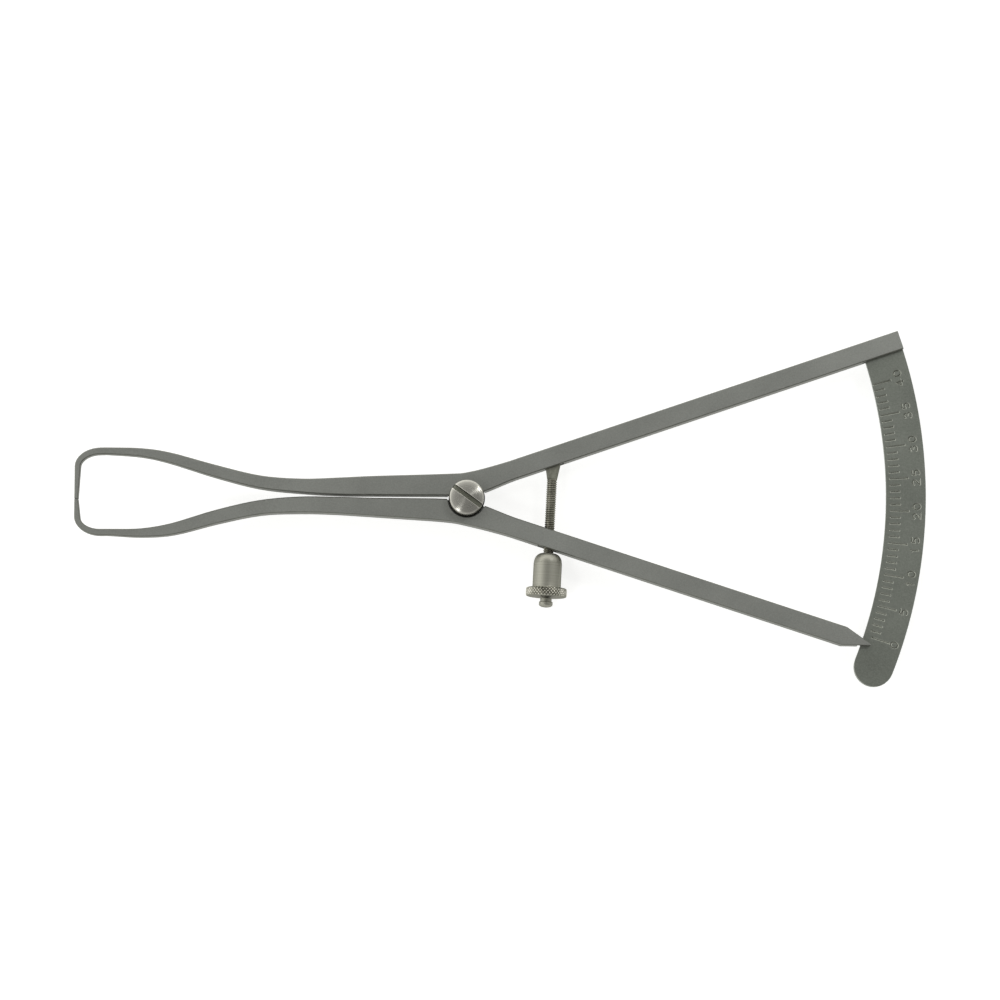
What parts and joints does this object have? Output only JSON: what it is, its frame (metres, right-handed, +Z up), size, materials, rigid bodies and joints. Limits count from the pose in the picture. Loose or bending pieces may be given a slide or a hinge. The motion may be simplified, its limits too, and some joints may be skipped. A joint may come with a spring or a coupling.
{
  "type": "bone caliper",
  "caption": "Squeeze-handle bone caliper: steel arms with bent thin jaws on a screw pivot, a curved millimetre scale with a pointer, and a threaded spindle with a thumb nut.",
  "frame": {"origin": "the pivot's axis, at the flat lower end of the pivot screw, level with the arms' underside", "axes": "+Z up along the pivot's axis, through the screw's head; -X from the pivot to the jaws, +X to the scale; +Y towards the scale arm, away from the thumb nut"},
  "size_m": [0.1464, 0.0616, 0.0075],
  "materials": {
    "arm_steel": "satin, with brighter worn bevels",
    "screw_steel": "turned, bright",
    "scale_steel": "satin, engraved",
    "spindle_steel": "cut thread, satin",
    "nut_steel": "turned, knurled flange"
  },
  "bodies": {
    "scale_arm": {"scale_arm": "arm_steel", "scale_plate": "scale_steel", "spindle_pin": "arm_steel"},
    "pointer_arm": {"pointer_arm": "arm_steel", "pivot_screw": "screw_steel"},
    "spindle": {"adjusting_spindle": "spindle_steel", "end_stop": "nut_steel"},
    "nut": {"thumb_nut": "nut_steel"}
  },
  "joints": [
    {"name": "arm_pivot", "type": "hinge", "parent": "scale_arm", "child": "pointer_arm", "pos_m": [0, 0, 0.0015], "axis": [0, 0, 1], "range_deg": [0, 35.6]},
    {"name": "spindle_swing", "type": "hinge", "parent": "scale_arm", "child": "spindle", "pos_m": [0.01483, 0.00655, 0.0015], "axis": [0, 0, 1], "range_deg": [0, 20]},
    {"name": "nut_travel", "type": "slide", "parent": "spindle", "child": "nut", "axis": [0.0522, 0.9986, 0], "range_m": [0, 0.01]}
  ],
  "couplings": [
    {"joint": "spindle_swing", "follows": "arm_pivot", "ratio": 0.555},
    {"joint": "nut_travel", "follows": "arm_pivot", "m_per_rad": 0.016}
  ]
}
